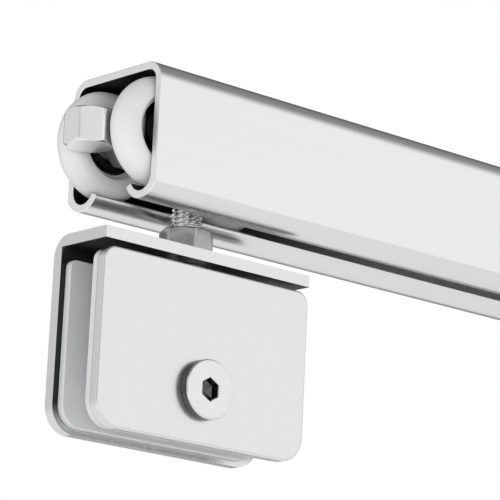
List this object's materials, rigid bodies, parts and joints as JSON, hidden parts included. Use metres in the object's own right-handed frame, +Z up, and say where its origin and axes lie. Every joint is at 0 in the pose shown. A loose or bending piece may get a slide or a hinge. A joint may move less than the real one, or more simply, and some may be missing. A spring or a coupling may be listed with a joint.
{
  "type": "sliding door hanger set",
  "caption": "Ceiling track with a wheeled trolley that rolls in it and carries a screw clamp for the top edge of a glass sliding door.",
  "frame": {"origin": "centre of the track's top face, which goes against the ceiling", "axes": "+X along the track, away from the end where the trolley stands; +Y across the track, towards the rear clamp plate; +Z up"},
  "size_m": [0.3135, 0.034, 0.0915],
  "materials": {
    "track_metal": "satin extruded aluminium with fine lengthwise brushing",
    "trolley_metal": "milled aluminium, satin",
    "polished_steel": "polished stainless steel",
    "axle_steel": "ground steel",
    "bearing_steel": "ground bearing steel",
    "cage_brass": "pressed brass",
    "wheel_nylon": "white nylon, slightly translucent",
    "clamp_steel": "stainless steel, fine upright brushing",
    "seal_rubber": "black rubber bearing seal",
    "bumper_steel": "satin-polished steel",
    "nut_steel": "polished steel with a dark reflection",
    "gasket_rubber": "whitish translucent silicone",
    "sleeve_plastic": "white plastic"
  },
  "bodies": {
    "track": {"track": "track_metal"},
    "trolley": {"trolley_body": "trolley_metal", "bumper_front": "bumper_steel", "bumper_back": "bumper_steel", "axle_front": "axle_steel", "axle_back": "axle_steel", "axle_clips": "axle_steel", "axle_spacers": "axle_steel", "bearing_inner_ring_front_left": "bearing_steel", "bearing_inner_ring_front_right": "bearing_steel", "bearing_inner_ring_back_left": "bearing_steel", "bearing_inner_ring_back_right": "bearing_steel"},
    "wheel_front_left": {"wheel_front_left": "wheel_nylon", "bearing_outer_ring_front_left": "bearing_steel", "bearing_seals_front_left": "seal_rubber"},
    "wheel_front_right": {"wheel_front_right": "wheel_nylon", "bearing_outer_ring_front_right": "bearing_steel", "bearing_seals_front_right": "seal_rubber"},
    "wheel_back_left": {"wheel_back_left": "wheel_nylon", "bearing_outer_ring_back_left": "bearing_steel", "bearing_seals_back_left": "seal_rubber"},
    "wheel_back_right": {"wheel_back_right": "wheel_nylon", "bearing_outer_ring_back_right": "bearing_steel", "bearing_seals_back_right": "seal_rubber"},
    "ball_set_front_left": {"bearing_balls_front_left": "bearing_steel", "bearing_cage_front_left": "cage_brass"},
    "ball_set_front_right": {"bearing_balls_front_right": "bearing_steel", "bearing_cage_front_right": "cage_brass"},
    "ball_set_back_left": {"bearing_balls_back_left": "bearing_steel", "bearing_cage_back_left": "cage_brass"},
    "ball_set_back_right": {"bearing_balls_back_right": "bearing_steel", "bearing_cage_back_right": "cage_brass"},
    "bracket": {"clamp_bracket": "clamp_steel", "rear_gasket": "gasket_rubber"},
    "hanger": {"hanger_bolt": "polished_steel", "lock_nut": "nut_steel"},
    "front_clamp": {"front_plate": "clamp_steel", "front_gasket": "gasket_rubber", "glass_sleeve": "sleeve_plastic"},
    "clamp_screw": {"clamp_screw": "polished_steel"}
  },
  "joints": [
    {"name": "trolley_slide", "type": "slide", "parent": "track", "child": "trolley", "axis": [1, 0, 0], "range_m": [0, 0.25]},
    {"name": "wheel_spin_front_left", "type": "hinge", "parent": "trolley", "child": "wheel_front_left", "pos_m": [-0.14425, -0.01035, -0.01677], "axis": [0, 1, 0], "continuous": true},
    {"name": "ball_orbit_front_left", "type": "hinge", "parent": "trolley", "child": "ball_set_front_left", "pos_m": [-0.14425, -0.01035, -0.01677], "axis": [0, 1, 0], "continuous": true},
    {"name": "wheel_spin_front_right", "type": "hinge", "parent": "trolley", "child": "wheel_front_right", "pos_m": [-0.14425, 0.01035, -0.01677], "axis": [0, 1, 0], "continuous": true},
    {"name": "ball_orbit_front_right", "type": "hinge", "parent": "trolley", "child": "ball_set_front_right", "pos_m": [-0.14425, 0.01035, -0.01677], "axis": [0, 1, 0], "continuous": true},
    {"name": "wheel_spin_back_left", "type": "hinge", "parent": "trolley", "child": "wheel_back_left", "pos_m": [-0.10575, -0.01035, -0.01677], "axis": [0, 1, 0], "continuous": true},
    {"name": "ball_orbit_back_left", "type": "hinge", "parent": "trolley", "child": "ball_set_back_left", "pos_m": [-0.10575, -0.01035, -0.01677], "axis": [0, 1, 0], "continuous": true},
    {"name": "wheel_spin_back_right", "type": "hinge", "parent": "trolley", "child": "wheel_back_right", "pos_m": [-0.10575, 0.01035, -0.01677], "axis": [0, 1, 0], "continuous": true},
    {"name": "ball_orbit_back_right", "type": "hinge", "parent": "trolley", "child": "ball_set_back_right", "pos_m": [-0.10575, 0.01035, -0.01677], "axis": [0, 1, 0], "continuous": true},
    {"name": "height_adjust", "type": "slide", "parent": "trolley", "child": "bracket", "axis": [0, 0, 1], "range_m": [-0.008, 0.001]},
    {"name": "bolt_turn", "type": "hinge", "parent": "bracket", "child": "hanger", "pos_m": [-0.125, 0, -0.0427], "axis": [0, 0, 1], "range_deg": [-2400, 600]},
    {"name": "clamp_open", "type": "slide", "parent": "bracket", "child": "front_clamp", "axis": [0, -1, 0], "range_m": [0, 0.002]},
    {"name": "screw_turn", "type": "hinge", "parent": "front_clamp", "child": "clamp_screw", "pos_m": [-0.125, -0.01, -0.0779], "axis": [0, -1, 0], "range_deg": [0, 600]}
  ],
  "couplings": [
    {"joint": "wheel_spin_front_left", "follows": "trolley_slide", "rad_per_m": 75.215},
    {"joint": "ball_orbit_front_left", "follows": "trolley_slide", "rad_per_m": 47.278},
    {"joint": "wheel_spin_front_right", "follows": "trolley_slide", "rad_per_m": 75.215},
    {"joint": "ball_orbit_front_right", "follows": "trolley_slide", "rad_per_m": 47.278},
    {"joint": "wheel_spin_back_left", "follows": "trolley_slide", "rad_per_m": 75.215},
    {"joint": "ball_orbit_back_left", "follows": "trolley_slide", "rad_per_m": 47.278},
    {"joint": "wheel_spin_back_right", "follows": "trolley_slide", "rad_per_m": 75.215},
    {"joint": "ball_orbit_back_right", "follows": "trolley_slide", "rad_per_m": 47.278},
    {"joint": "bolt_turn", "follows": "height_adjust", "rad_per_m": 5026.5},
    {"joint": "screw_turn", "follows": "clamp_open", "rad_per_m": 5026.5}
  ]
}
